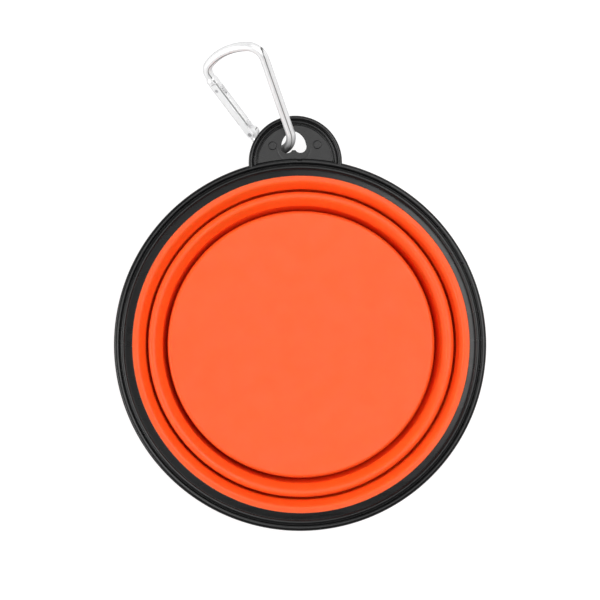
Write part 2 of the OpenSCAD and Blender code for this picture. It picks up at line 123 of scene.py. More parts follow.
class RimSizes(bpy.types.PropertyGroup):
    """Section of the hard rim, as a radius and a height for each form."""

    lip_at: length("Lip radius", "Radius of the middle of the outer lip", 63.95)
    lip_z: length("Lip height", "Height of the middle of the outer lip", 13.55)
    lip_r: length("Lip round", "Radius of the outer lip's own round", 1.05)
    bead_at: length("Bead radius", "Radius of the middle of the inner bead", 62.0)
    bead_z: length("Bead height", "Height of the middle of the inner bead", 14.24)
    bead_r: length("Bead round", "Radius of the inner bead's own round", 0.76)
    groove_z: length("Groove floor", "Height of the floor between lip and bead", 13.95)
    mouth_at: length("Mouth radius", "Radius where the silicone starts", 58.9)
    mouth_z: length("Mouth height", "Height of the rim's inner edge", 13.65)
    valley_z: length("Valley height", "Height of the inner slope's outer end, at the bead's foot", 13.2)
    mouth_t: length("Mouth thickness", "Thickness of the rim's inner edge", 0.3)
    cover_z: length("Cover height", "Height of the underside over the silicone's root", 12.6)
    root_at: length("Root radius", "Radius where the cover starts", 59.4)
    skirt_at: length("Skirt radius", "Outer radius of the skirt", 64.6)
    skirt_in: length("Skirt inside", "Inner radius of the skirt", 62.6)
    skirt_z: length("Skirt foot", "Height of the skirt's lower edge", 5.5)
    nub_x: length("Nub place", "Small nub in the groove, right of the middle", -1.85)
    nub_w: length("Nub width", "Width of the small nub", 0.9)
    notch_x: length("Notch place", "Moulding notch in the lip, right of the middle", 1.55)
    notch_w: length("Notch width", "Width of the moulding notch", 1.2)
    notch_h: length("Notch depth", "Depth of the moulding notch", 0.6)
    turns: IntProperty(name="Turn steps", description="Steps around a turned surface", default=360, min=60)


class TabSizes(bpy.types.PropertyGroup):
    """Hanging tab: a disc with a lip, a bead, a thin ridge and a kidney-shaped hole."""

    centre_y: length("Tab centre", "Tab's centre from the bowl's axis", 63.7)
    radius: length("Tab radius", "Radius of the tab", 16.3)
    top_z: length("Lip top", "Height of the tab's lip", 14.6)
    lip_r: length("Lip round", "Radius of the lip's own round", 0.75)
    web_z: length("Web height", "Height of the tab's flat top", 13.5)
    under_z: length("Underside", "Height of the tab's underside", 12.4)
    chamfer: length("Chamfer", "Chamfer under the tab's edge", 0.4)
    bead_at: length("Bead radius", "Tab radius of the middle of the bead", 14.1)
    bead_r: length("Bead round", "Radius of the bead's own round", 0.45)
    bead_h: length("Bead height", "Height of the bead above the web", 0.8)
    ridge_at: length("Ridge radius", "Tab radius of the thin ridge", 13.2)
    ridge_r: length("Ridge round", "Radius of the thin ridge's own round", 0.25)
    hole_x: length("Hole place across", "Hole's widest line, right of the middle", -0.42)
    hole_y: length("Hole place along", "Hole's widest line from the bowl's axis", 69.3)
    dome_r: length("Dome radius", "Radius of each side of the hole's dome", 5.45)
    dome_shift: length("Dome shift", "Each dome circle's distance from the hole's middle", 1.15)
    lobe_r: length("Lobe radius", "Radius of the hole's two lower lobes", 2.1)
    lobe_x: length("Lobe place", "Each lobe's distance from the hole's middle", 2.35)
    lobe_drop: length("Lobe drop", "Lobes' drop below the widest line", 0.2)
    saddle_drop: length("Saddle drop", "Depth of the hole between the lobes", 1.3)
    edge_r: length("Edge round", "Round on the hole's edges", 0.18)
    witness_r: length("Witness line", "Radius of the faint line round the lower half of the hole", 5.9)
    mark_r: length("Mark radius", "Radius of the two round moulding marks", 1.5)
    mark_h: length("Mark height", "Height of the marks above the web", 0.45)
    mark_x: length("Mark place across", "Each mark's distance from the tab's middle", 7.8)
    mark_y: length("Mark place along", "Marks' distance from the bowl's axis", 69.7)
    rays: IntProperty(name="Tab steps", description="Steps around the hole", default=480, min=120)


class BowlSizes(bpy.types.PropertyGroup):
    """Silicone: radii and heights of the bands, the webs between them and the floor."""

    fold_z: length("Crest height", "Height of the folded crests and of the floor", 13.4)
    off_x: length("Set right", "How far right of the rim's axis the silicone sits", 0.3)
    off_y: length("Set back", "How far beyond the rim's axis the silicone sits", 0.12)
    crest_at: length("Upper crest", "Radius of the upper crest", 57.45)
    crest_up: length("Upper crest rise", "Height of the upper crest above the other crests", 0.4)
    crest_r: length("Upper crest round", "Radius of the upper crest's own round", 1.3)
    flank_at: length("Upper flank foot", "Radius where the upper band's sloping flank ends", 54.2)
    crease_at: length("Crease radius", "Radius of the upper band at the crease", 54.4)
    crease_z: length("Crease height", "Height of the upper band at the crease", 3.6)
    foot_in: length("Foot inside", "Inner radius of the resting foot", 53.6)
    foot_out: length("Foot outside", "Outer radius of the resting foot", 55.8)
    middle_at: length("Middle crest", "Radius of the middle ring's crest", 51.75)
    middle_r: length("Middle crest round", "Radius of the middle crest's own round", 1.5)
    slope_at: length("Middle flank foot", "Radius where the middle ring's sloping flank ends", 48.4)
    middle_in: length("Middle foot inside", "Inner radius of the middle ring's foot", 46.8)
    middle_out: length("Middle foot outside", "Outer radius of the middle ring's foot", 48.4)
    floor_at: length("Floor radius", "Radius of the floor", 46.4)
    floor_t: length("Floor thickness", "Thickness of the floor", 2.4)
    floor_r: length("Floor edge round", "Radius of the floor's upper edge", 1.2)
    stand_w: length("Standing ring", "Width of the floor's standing ring", 6.0)
    stand_h: length("Recess depth", "Depth of the recess inside the standing ring", 0.5)
    web_t: length("Web thickness", "Thickness of the folding webs", 1.2)
    web_lean: length("Web lean", "How far each web leans in over its height", 0.4)


class HookSizes(bpy.types.PropertyGroup):
    """Sizes of the snap hook that its solids don't give."""

    travel: length("Plunger travel", "How far the open gate pushes the plunger into the spring", 0.432)


class Finishes(bpy.types.PropertyGroup):
    """Colours and roughness of the four materials, and the painted light, painted dark line and painted dark
    end that stand in for the bright room on the aluminium.
    """

    silicone: colour("Silicone", "Colour of the silicone", (0.985, 0.098, 0.0085))
    silicone_rough: share("Silicone roughness", "Roughness of the silicone", 0.5)
    plastic: colour("Plastic", "Colour of the hard black plastic", (0.0025, 0.0025, 0.0027))
    plastic_rough: share("Plastic roughness", "Roughness of the hard plastic", 0.29)
    aluminium: colour("Aluminium", "Colour of the polished aluminium", (0.72, 0.72, 0.723))
    aluminium_rough: share("Aluminium roughness", "Roughness of the polished aluminium", 0.32)
    # painted light: strength of the white glow that the emission puts on the aluminium
    glow: FloatProperty(name="Metal glow", description="White light that the bright room adds to the aluminium",
                        default=0.24)
    # painted reflection: direction and turn of the thin dark line on the aluminium
    painted_dark_side: FloatVectorProperty(name="Dark side", description="Direction of the room's dark side",
                                   default=(0.93, -0.35, 0.1))
    painted_line_turn: FloatProperty(name="Dark line", description="How far the metal turns to that side at the line",
                             default=0.4)
    # painted shade and reflection: where the rod's end is painted dark in the tab's hole
    painted_dark_dip: FloatVectorProperty(name="Dip", description="Place where the hook's rod dips into the tab's hole",
                             default=(-0.0022, 0.0672, 0.011), subtype="TRANSLATION", unit="LENGTH")
    steel: colour("Steel", "Colour of the pins and the spring", (0.75, 0.75, 0.76))
    steel_rough: share("Steel roughness", "Roughness of the steel", 0.3)


class StageSizes(bpy.types.PropertyGroup):
    """Camera, lamps and floor."""

    lens: FloatProperty(name="Lens", description="Focal length of the camera in millimetres", default=1000)
    sensor: FloatProperty(name="Sensor", description="Sensor width of the camera in millimetres", default=36)
    width: length("Frame width", "Width of the picture at the middle of the bowl", 209.42)
    middle_x: length("Frame middle across", "Middle of the picture, right of the bowl's axis", 0.374)
    middle_y: length("Frame middle along", "Middle of the picture from the bowl's axis", 15.632)
    middle_z: length("Frame height", "Height that the frame's width is measured at", 14.6)
    turn: FloatProperty(name="Camera turn", description="Turn of the camera about its own line of sight",
                        default=math.radians(-1.5), unit="ROTATION")
    key: FloatProperty(name="Key lamp", description="Brightness of the high lamp on the right", default=3.8)
    overhead: FloatProperty(name="Overhead lamp", description="Brightness of the overhead lamp", default=1.85)
    left: FloatProperty(name="Left lamp", description="Brightness of the lower lamp on the left", default=6.0)
    far: FloatProperty(name="Far lamp", description="Brightness of the lamp beyond the tab", default=1.5)
    room: FloatProperty(name="Room", description="Brightness of the room around", default=0.06)
    walls: FloatProperty(name="Walls", description="Brightness of the room near the horizon", default=0.5)
    paper: FloatProperty(name="Paper glow", description="What the camera adds to the floor's own light",
                         default=0.9)
    paper_mirrored: FloatProperty(name="Mirrored paper", default=0.5,
                                  description="What a reflection adds to the floor's own light")
    paper_shade: share("Paper shade", "How much of the lamps' light and of the shadow the camera sees", 0.2)


def rounded(corners, steps=6, lead=0.12):
    """A closed section of corners (radius, height, round) as one array of points. Each corner with a round
    becomes the arc of that radius that touches both of its sides, and a point a short lead beyond each end of
    the arc keeps the straight sides flat."""
    at = np.array([c[:2] for c in corners], float)
    rounds = np.array([c[2] for c in corners], float)
    before, after = np.roll(at, 1, 0) - at, np.roll(at, -1, 0) - at
    out = []
    for p, u, v, r in zip(at, before, after, rounds):
        if r <= 0:
            out.append(p[None])
            continue
        lu, lv = np.linalg.norm(u), np.linalg.norm(v)
        u, v = u / lu, v / lv
        half = 0.5 * math.acos(np.clip(u @ v, -1, 1))
        cut = min(r / math.tan(half), 0.45 * lu, 0.45 * lv)
        r = cut * math.tan(half)
        middle = p + (u + v) / np.linalg.norm(u + v) * r / math.sin(half)
        a, b = p + u * cut - middle, p + v * cut - middle
        span = math.pi - 2 * half
        t = np.linspace(0, 1, steps + 1)[:, None]
        arc = middle + (np.sin((1 - t) * span) * a + np.sin(t * span) * b) / math.sin(span)
        ends = [p + u * (cut + lead * min(1, (lu - 2 * cut) / (4 * lead)))] if lu > 2.2 * cut else []
        tail = [p + v * (cut + lead * min(1, (lv - 2 * cut) / (4 * lead)))] if lv > 2.2 * cut else []
        out += [np.array(ends).reshape(-1, 2), arc, np.array(tail).reshape(-1, 2)]
    return np.concatenate(out)


def arc(centre, radius, start, end, steps):
    """Points of a circle's arc from one angle to another, in degrees."""
    a = np.radians(np.linspace(start, end, steps + 1))
    return np.array(centre) + radius * np.stack([np.cos(a), np.sin(a)], -1)


def grid_faces(rows, columns, wrap_rows, wrap_columns):
    """Quads between the neighbours of a grid of points, closed on itself where it wraps."""
    i = np.arange(rows if wrap_rows else rows - 1)[:, None]
    j = np.arange(columns if wrap_columns else columns - 1)[None]
    i1, j1 = (i + 1) % rows, (j + 1) % columns
    return np.stack([i * columns + j, i1 * columns + j, i1 * columns + j1, i * columns + j1], -1).reshape(-1, 4)


def volume(points, triangles):
    """Signed volume inside a closed surface: a sixth of the sum of each triangle's triple product."""
    a, b, c = (points[triangles[:, k]] for k in range(3))
    return float(np.einsum("ij,ij->i", a, np.cross(b, c)).sum() / 6)


def piece(name, points, quads, triangles=None):
    """A mesh object from arrays of points, in millimetres, and faces. A closed surface that is inside out is
    turned round, and every face is smooth."""
    fans = np.zeros((0, 3), int) if triangles is None else np.asarray(triangles)
    halves = np.concatenate([quads[:, [0, 1, 2]], quads[:, [0, 2, 3]], fans])
    if volume(points, halves) < 0:
        quads, fans = quads[:, ::-1], fans[:, ::-1]
    mesh = bpy.data.meshes.new(name)
    mesh.vertices.add(len(points))
    mesh.vertices.foreach_set("co", (points * MM).astype(np.float32).ravel())
    corners = np.concatenate([quads.ravel(), fans.ravel()])
    mesh.loops.add(len(corners))
    mesh.loops.foreach_set("vertex_index", corners.astype(np.int32))
    counts = np.r_[np.full(len(quads), 4), np.full(len(fans), 3)]
    mesh.polygons.add(len(counts))
    mesh.polygons.foreach_set("loop_start", (np.cumsum(counts) - counts).astype(np.int32))
    mesh.polygons.foreach_set("loop_total", counts.astype(np.int32))
    mesh.polygons.foreach_set("use_smooth", np.ones(len(counts), bool))
    mesh.validate()
    mesh.update()
    made = bpy.data.objects.new(name, mesh)
    bpy.context.scene.collection.objects.link(made)
    return made


def carried(section, angles, centre):
    """Grid of (turn, step) points: the section's point (radius, height) at that step, carried round the upright
    axis through centre by that turn."""
    a = np.asarray(angles)[:, None]
    r, z = section[:, 0][None], section[:, 1][None]
    return np.stack([centre[0] + r * np.cos(a), centre[1] + r * np.sin(a),
                     np.broadcast_to(z, (len(a), len(section)))], -1)


def turned(name, section, angles, centre=(0, 0), change=None):
    """Surface of revolution of a closed section (radius, height). change may move the finished points."""
    points = carried(section, angles, centre).reshape(-1, 3)
    if change is not None:
        points = change(points)
    return piece(name, points, grid_faces(len(angles), len(section), True, True))


def turned_solid(name, section, angles, centre=(0, 0)):
    """Surface of revolution of an open section that starts and ends on the axis. Its first and last points are
    the two poles, which fans of triangles close."""
    inner = section[1:-1]
    n, m = len(angles), len(inner)
    poles = np.array([[*centre, section[0, 1]], [*centre, section[-1, 1]]])
    points = np.concatenate([carried(inner, angles, centre).reshape(-1, 3), poles])
    i = np.arange(n)
    first = np.stack([np.full(n, n * m), (i + 1) % n * m, i * m], -1)
    last = np.stack([np.full(n, n * m + 1), i * m + m - 1, (i + 1) % n * m + m - 1], -1)
    return piece(name, points, grid_faces(n, m, True, False), np.concatenate([first, last]))


def spread(sizes):
    """Even turns around the bowl."""
    return np.linspace(0, TURN, sizes.turns, endpoint=False)


def mm(group, *names):
    """Named sizes of a group, in millimetres."""
    return [getattr(group, n) / MM for n in names]


def new_material(name):
    """A node material with its Principled shader and Object coordinates."""
    made = bpy.data.materials.new(name)
    made.use_nodes = True
    nodes, links = made.node_tree.nodes, made.node_tree.links
    place = nodes.new("ShaderNodeTexCoord")
    return made, nodes, links, nodes["Principled BSDF"], place.outputs["Object"]


def noise(nodes, links, place, scale, detail=2.0, stretch=None, turn=None):
    """Noise of that many features a metre, stretched and turned by a Mapping node where asked."""
    made = nodes.new("ShaderNodeTexNoise")
    made.inputs["Scale"].default_value = scale
    made.inputs["Detail"].default_value = detail
    if stretch is not None:
        mapping = nodes.new("ShaderNodeMapping")
        mapping.inputs["Scale"].default_value = stretch
        if turn is not None:
            mapping.inputs["Rotation"].default_value = turn
        links.new(place, mapping.inputs["Vector"])
        place = mapping.outputs["Vector"]
    links.new(place, made.inputs["Vector"])
    return made.outputs["Fac"]


def ranged(nodes, links, value, low, high, out_low, out_high):
    """The value carried from one range to another, held at its ends."""
    made = nodes.new("ShaderNodeMapRange")
    for socket, number in (("From Min", low), ("From Max", high), ("To Min", out_low), ("To Max", out_high)):
        made.inputs[socket].default_value = number
    links.new(value, made.inputs["Value"])
    return made.outputs["Result"]


def tinted(nodes, links, value, dark, light):
    """A colour between two, by the value."""
    made = nodes.new("ShaderNodeMix")
    made.data_type = "RGBA"
    made.inputs[6].default_value = dark
    made.inputs[7].default_value = light
    links.new(value, made.inputs[0])
    return made.outputs[2]


def combined(nodes, links, operation, first, second=None):
    """Two values, or a value and a number, through one Math node."""
    made = nodes.new("ShaderNodeMath")
    made.operation = operation
    for socket, value in zip(made.inputs, (first, second)):
        if isinstance(value, bpy.types.NodeSocket):
            links.new(value, socket)
        elif value is not None:
            socket.default_value = value
    return made.outputs[0]


def measured(nodes, links, operation, value, fixed):
    """The number that a Vector Math node makes of a vector and a fixed vector."""
    made = nodes.new("ShaderNodeVectorMath")
    made.operation = operation
    links.new(value, made.inputs[0])
    made.inputs[1].default_value = fixed
    return made.outputs["Value"]


def part_of(nodes, links, value, axis):
    """A vector's X, Y or Z."""
    made = nodes.new("ShaderNodeSeparateXYZ")
    links.new(value, made.inputs[0])
    return made.outputs[axis]


def apart(nodes, links, value, number):
    """How far a value is from a number, either way."""
    return combined(nodes, links, "ABSOLUTE", combined(nodes, links, "SUBTRACT", value, number))


def bumped(nodes, links, shader, heights):
    """Bumps one after another: (height, strength, distance in metres)."""
    previous = None
    for height, strength, distance in heights:
        made = nodes.new("ShaderNodeBump")
        made.inputs["Strength"].default_value = strength
        made.inputs["Distance"].default_value = distance
        links.new(height, made.inputs["Height"])
        if previous is not None:
            links.new(previous, made.inputs["Normal"])
        previous = made.outputs["Normal"]
    links.new(previous, shader.inputs["Normal"])


def scaled(rgba, factor):
    """A colour made lighter or darker, alpha kept."""
    return (*[min(1, c * factor) for c in rgba[:3]], 1)


def silicone_material(finish):
    """Soft matte silicone: a slow change of colour, a fine moulded grain and a faint glow through it."""
    made, nodes, links, shader, place = new_material("silicone_orange")
    slow = noise(nodes, links, place, scale=22, detail=3)
    links.new(tinted(nodes, links, ranged(nodes, links, slow, 0.3, 0.7, 0, 1), scaled(finish.silicone, 0.97),
                     scaled(finish.silicone, 1.02)), shader.inputs["Base Color"])
    patch = noise(nodes, links, place, scale=140, detail=4)
    links.new(ranged(nodes, links, patch, 0.3, 0.7, finish.silicone_rough - 0.05, finish.silicone_rough + 0.06),
              shader.inputs["Roughness"])
    shader.inputs["IOR"].default_value = 1.41
    shader.inputs["Subsurface Weight"].default_value = 0.35
    shader.inputs["Subsurface Radius"].default_value = (1.0, 0.2, 0.06)
    shader.inputs["Subsurface Scale"].default_value = 0.003
    bumped(nodes, links, shader, [(noise(nodes, links, place, scale=2600, detail=3), 0.12, 0.00004),
                                  (noise(nodes, links, place, scale=380, detail=2), 0.10, 0.00008)])
    return made


def plastic_material(finish, tab=None):
    """Hard black plastic: fine spark-eroded grain, faint rub marks that are a little smoother, and on the tab a
    thin witness line round the lower half of the hole."""
    made, nodes, links, shader, place = new_material("plastic_black_tab" if tab else "plastic_black")
    rub = noise(nodes, links, place, scale=60, detail=5, stretch=(1, 7, 1), turn=(0, 0, 0.7))
    links.new(tinted(nodes, links, ranged(nodes, links, rub, 0.35, 0.7, 0, 1), scaled(finish.plastic, 0.85),
                     scaled(finish.plastic, 1.35)), shader.inputs["Base Color"])
    links.new(ranged(nodes, links, rub, 0.3, 0.7, finish.plastic_rough - 0.04, finish.plastic_rough + 0.06),
              shader.inputs["Roughness"])
    shader.inputs["Specular IOR Level"].default_value = 0.36
    heights = [(noise(nodes, links, place, scale=2200, detail=2), 0.22, 0.00003),
               (noise(nodes, links, place, scale=260, detail=3), 0.12, 0.0001)]
    if tab:
        away = measured(nodes, links, "DISTANCE", place, (tab.hole_x, tab.hole_y, tab.web_z))
        line = ranged(nodes, links, apart(nodes, links, away, tab.witness_r), 0.0001, 0.0003, 1, 0)
        lower = ranged(nodes, links, part_of(nodes, links, place, "Y"), tab.hole_y - 0.002, tab.hole_y, 1, 0)
        heights.append((combined(nodes, links, "MULTIPLY", line, lower), 0.3, 0.0001))
    bumped(nodes, links, shader, heights)
    return made


def metal_material(name, rgba, rough, room=None):
    """Polished metal with cloudy handling marks in its roughness. With room, painted light stands in for the
    bright room: a painted white glow from the emission on faces that look up, less on flanks that face the
    floor, a painted dark reflection line where the metal turns to the room's dark right side, and a painted
    dark end, shade and the black tab's reflection, where it dips into the hole of the black tab."""
    made, nodes, links, shader, place = new_material(name)
    shader.inputs["Metallic"].default_value = 0.45 if room else 1
    cloud = noise(nodes, links, place, scale=160, detail=4)
    if room:
        normal = nodes["Texture Coordinate"].outputs["Normal"]
        # painted light: the white glow lies on faces that look up and fades on flanks that face the floor
        top = ranged(nodes, links, part_of(nodes, links, normal, "Z"), 0.25, 0.7, 0, 1)
        side = measured(nodes, links, "DOT_PRODUCT", normal, room.painted_dark_side)
        # painted reflection: a thin dark line where the metal turns to the room's dark side
        line = ranged(nodes, links, apart(nodes, links, side, room.painted_line_turn), 0.02, 0.11, 0.12, 1)
        away = measured(nodes, links, "DISTANCE", place, room.painted_dark_dip)
        # painted shade and reflection of the black tab: the rod's end in the tab's hole is painted dark
        hole = ranged(nodes, links, away, 0.003, 0.0085, 0.06, 1)
        painted_light_mask = combined(nodes, links, "MULTIPLY", line, hole)
        # the base colour is darkened towards (0.02, 0.02, 0.02) by the painted dark line and the painted dark
        # end
        tone_and_painted_shade = tinted(nodes, links, painted_light_mask, (0.02, 0.02, 0.02, 1), rgba)
        glow = combined(nodes, links, "MULTIPLY", painted_light_mask, top)
        # painted light: white emission on the aluminium, though it is no lamp
        links.new(tinted(nodes, links, glow, (0, 0, 0, 1), (1, 1, 1, 1)), shader.inputs["Emission Color"])
        shader.inputs["Emission Strength"].default_value = room.glow
    else:
        tone_and_painted_shade = tinted(nodes, links, ranged(nodes, links, cloud, 0.3, 0.7, 0, 1), scaled(rgba, 0.95),
                      scaled(rgba, 1.03))
    links.new(tone_and_painted_shade, shader.inputs["Base Color"])
    links.new(ranged(nodes, links, cloud, 0.3, 0.7, rough - 0.04, rough + 0.07), shader.inputs["Roughness"])
    bumped(nodes, links, shader, [(noise(nodes, links, place, scale=900, detail=3), 0.10, 0.00002)])
    return made


def finished(made, material, body, slot, *nodes):
    """Gives a new piece its material, its body and the CAD nodes that it stands for; the slot argument is not
    used.
    """
    made.data.materials.clear()
    made.data.materials.append(material)
    if body:
        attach(made, body)
    if nodes:
        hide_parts(*nodes)
    return made


def rim_section(s):
    """The rim's closed section, from the mouth over the slope, bead, groove and lip, and down the skirt."""
    (mouth, mouth_z, valley_z, mouth_t, bead, bead_z, bead_r, groove, lip, lip_z, lip_r, skirt, skirt_in,
     skirt_z, cover, root) = mm(
        s, "mouth_at", "mouth_z", "valley_z", "mouth_t", "bead_at", "bead_z", "bead_r", "groove_z", "lip_at",
        "lip_z", "lip_r", "skirt_at", "skirt_in", "skirt_z", "cover_z", "root_at")
    foot = [(skirt, skirt_z, SKIRT_ROUND), (skirt_in, skirt_z, SKIRT_ROUND), (skirt_in, cover, 0),
            (root, cover, 0)]
    slope = [(mouth, mouth_z - mouth_t, HEM_ROUND), (mouth, mouth_z, EDGE_ROUND),
             (bead - bead_r + 0.06, valley_z, EDGE_ROUND), (bead - 0.9 * bead_r, bead_z + 0.1, 0)]
    lower = rounded([(skirt, lip_z, 0)] + foot + slope)[1:-1]
    groove_half = math.degrees(math.asin((bead_z - groove - GROOVE_LIFT) / bead_r))
    lip_low = math.degrees(math.asin((groove + GROOVE_LIFT - lip_z) / lip_r))
    skirt_low = -math.degrees(math.acos((skirt - lip) / lip_r))
    bead_arc = arc((bead, bead_z), bead_r, start=160, end=-groove_half, steps=24)
    lip_arc = arc((lip, lip_z), lip_r, start=180 - lip_low, end=skirt_low, steps=30)
    valley = np.array([[(bead_arc[-1, 0] + lip_arc[0, 0]) / 2, groove]])
    return np.concatenate([lower, bead_arc, valley, lip_arc])


def notched(s, b):
    """Sets the rim's mouth over the silicone, by a share that fades out before the bead, and lowers the lip's
    outer edge over the moulding notch: the drop is the product of two smooth steps, one across the notch's
    width and one that grows from the lip's crest outwards."""
    x0, w, h, lip, lip_z, mouth, bead, bead_r = mm(s, "notch_x", "notch_w", "notch_h", "lip_at", "lip_z",
                                                   "mouth_at", "bead_at", "bead_r")
    off = np.array(mm(b, "off_x", "off_y"))

    def change(points):
        side = np.clip((w / 2 + NOTCH_FADE / 2 - np.abs(points[:, 0] - x0)) / NOTCH_FADE, 0, 1)
        far = np.hypot(points[:, 0], points[:, 1])
        points[:, :2] += np.clip((bead - bead_r - far) / (bead - bead_r - mouth), 0, 1)[:, None] * off
        out = np.clip((far - lip - NOTCH_START) / NOTCH_GROW, 0, 1)
        deep = (points[:, 1] > 0) & (points[:, 2] > lip_z)
        points[:, 2] -= np.where(deep, side * side * (3 - 2 * side) * out * out * (3 - 2 * out) * h, 0)
        return points

    return change


def hole_outline(t, count):
    """The kidney-shaped hole's outline as points about its own middle, evenly spaced along it from the top:
    at each direction it is the furthest reach of the dome, the two lobes and the saddle between them."""
    dome, shift, lobe, lobe_x, drop, saddle = mm(t, "dome_r", "dome_shift", "lobe_r", "lobe_x", "lobe_drop",
                                                 "saddle_drop")
    half = dome - shift
    a = np.linspace(0, TURN, OUTLINE_STEPS + 1)[:-1] + math.pi / 2
    c, s = np.cos(a), np.sin(a)
    near = np.stack([-sign * shift * c + np.sqrt(dome ** 2 - (shift * s) ** 2) for sign in (-1, 1)]).min(0)
    across, down = np.maximum(np.abs(c), TINY), np.maximum(-s, TINY)
    upper = np.where(s >= 0, np.minimum(near, half / across), 0)
    reach = []
    for sign in (-1, 1):
        along = sign * lobe_x * c - drop * s
        inside = lobe ** 2 - (lobe_x ** 2 + drop ** 2 - along ** 2)
        reach.append(np.where((inside > 0) & (along > 0), along + np.sqrt(np.maximum(inside, 0)), 0))
    band = np.where(s < 0, np.minimum(half / across, drop / down), 0)
    box = np.where(s < 0, np.minimum(lobe_x / across, saddle / down), 0)
    r = np.maximum.reduce([upper, *reach, band, box])
    outline = np.stack([r * c, r * s], -1)
    loop = np.concatenate([outline, outline[:1]])
    run = np.r_[0, np.cumsum(np.linalg.norm(np.diff(loop, axis=0), axis=1))]
    even = np.linspace(0, run[-1], count, endpoint=False)
    even = np.stack([np.interp(even, run, loop[:, k]) for k in (0, 1)], -1)
    return sum(np.roll(even, k, 0) * w for k, w in ((-2, 1), (-1, 4), (0, 6), (1, 4), (2, 1))) / 16


def tab_points(s, t):
    """The tab's closed surface as a grid: one row for each step of its section, from the hole's lower edge up
    the hole's wall, out over web, ridge, bead and lip, and back along the underside, and one column for each
    ray from the hole. A row beyond the web lies at its own tab radius, where the ray meets that circle. Inside
    the rim's lip a ray stops short and its top dips under the lip."""
    (centre, radius, top, lip_r, web, under, chamfer, bead, bead_r, bead_h, ridge, ridge_r, hx, hy, edge) = mm(
        t, "centre_y", "radius", "top_z", "lip_r", "web_z", "under_z", "chamfer", "bead_at", "bead_r", "bead_h",
        "ridge_at", "ridge_r", "hole_x", "hole_y", "edge_r")
    lip, lip_z, ring_r = mm(s, "lip_at", "lip_z", "lip_r")
    count = t.rays
    hole = hole_outline(t, count) + [hx, hy]
    outward = np.arctan2(hole[:, 1] - hy, hole[:, 0] - hx)
    even = math.pi / 2 + np.linspace(0, TURN, count, endpoint=False)
    drift = np.angle(np.exp(1j * (outward - even)))
    ray = even + RAY_LEAN * drift
    direction = np.stack([np.cos(ray), np.sin(ray)], -1)
    start = np.array([hx, hy])

    def meets(middle_y, r):
        """Distance along each ray to a circle about (0, middle_y)."""
        from_middle = start - [0, middle_y]
        b = direction @ from_middle
        return -b + np.sqrt(np.maximum(b ** 2 - from_middle @ from_middle + r ** 2, 0))

    ridge_arc = arc((ridge, web), ridge_r, start=180, end=0, steps=10)
    low = math.degrees(math.asin(min(1, (bead_h - bead_r) / bead_r)))
    bead_arc = arc((bead, web + bead_h - bead_r), bead_r, start=180 + low, end=-low, steps=14)
    lip_arc = arc((radius - lip_r, top - lip_r), lip_r, start=180, end=0, steps=24)
    foot = rounded([(radius, top, 0), (radius, under + chamfer, 0.12), (radius - chamfer, under, 0.12),
                    (radius - 6, under, 0)])[1:-1]
    outer = np.concatenate([[[ridge - ridge_r - 0.35, web], [ridge - ridge_r - 0.12, web]], ridge_arc,
                            [[(ridge + ridge_r + bead - bead_r) / 2, web]], bead_arc,
                            [[bead + bead_r + 0.12, web - 0.05], [radius - 2 * lip_r - 0.1, web - 0.05]],
                            lip_arc, foot, [[ridge, under]]])
    rows = []
    ahead = direction @ start
    blocked = (ahead < 0) & (ahead ** 2 - start @ start + (lip - TUCK) ** 2 > 0)
    for k, (rho, z) in enumerate(outer):
        reach = meets(centre, rho)
        stop = -ahead - np.sqrt(np.maximum(ahead ** 2 - start @ start + (lip - TUCK - TUCK_STEP * k) ** 2, 0))
        stop = np.where(blocked & (stop > 0), stop, NEVER)
        at = start + direction * np.minimum(reach, stop)[:, None]
        far = np.hypot(at[:, 0], at[:, 1])
        cover = (lip_z + np.sqrt(np.maximum(ring_r ** 2 - (far - lip) ** 2, 0)) - COVER_GAP
                 - COVER_FALL * np.maximum(lip - far, 0))
        height = np.where(far < lip, np.minimum(z, np.maximum(cover, under)), z)
        rows.append(np.column_stack([at, height]))
    first, last = rows[0], rows[-1]
    wall = rounded([(0, under, edge), (0, web, edge), (4, web, 0), (4, under, 0)], steps=5)
    away = (hole - np.roll(hole, 1, 0)) + (np.roll(hole, -1, 0) - hole)
    away = np.stack([away[:, 1], -away[:, 0]], -1) / np.linalg.norm(away, axis=1)[:, None]
    if (away * (hole - start)).sum() < 0:
        away = -away
    inner = [np.column_stack([hole + away * d, np.full(count, z)]) for d, z in wall[:-2] if d < 3]
    top_rows = [inner[-1] * (1 - u) + first * u for u in (0.03, 0.2, 0.4, 0.6, 0.8, 0.95)]
    low_rows = [last * (1 - u) + inner[0] * u for u in (0.1, 0.4, 0.7, 0.95)]
    return np.stack(inner + top_rows + rows + low_rows)


class BOWL_OT_rim(bpy.types.Operator):
    """Turns the hard rim, with its lip, groove, bead and skirt"""

    bl_idname = "bowl.rim"
    bl_label = "Rim"

    def execute(self, context):
        s, finish = context.scene.bowl_rim, context.scene.bowl_finish
        black = plastic_material(finish)
        fine = np.radians(np.linspace(*NOTCH_ARC, 81))
        angles = spread(s)
        angles = np.sort(np.r_[angles[(angles < fine[0] - 0.002) | (angles > fine[-1] + 0.002)], fine])
        rim = turned("rim_ring", rim_section(s), angles, change=notched(s, context.scene.bowl_walls))
        finished(rim, black, "rim", "rim_plastic", "rim_frame")
        x, w, groove, lip, lip_r, bead, bead_r = mm(s, "nub_x", "nub_w", "groove_z", "lip_at", "lip_r",
                                                    "bead_at", "bead_r")
        middle = (lip - lip_r + bead + bead_r) / 2
        across = np.linspace(0, TURN, 40, endpoint=False)
        dome = np.array([[0, groove + 0.55], [w * 0.2, groove + 0.53], [w * 0.36, groove + 0.4],
                         [w * 0.48, groove + 0.1], [w * 0.5, groove - 0.3], [0, groove - 0.3]])
        nub = turned_solid("rim_nub", dome, across, (x, math.sqrt(middle ** 2 - x ** 2)))
        finished(nub, black, "rim", "rim_plastic", "rim_frame")
        return {"FINISHED"}


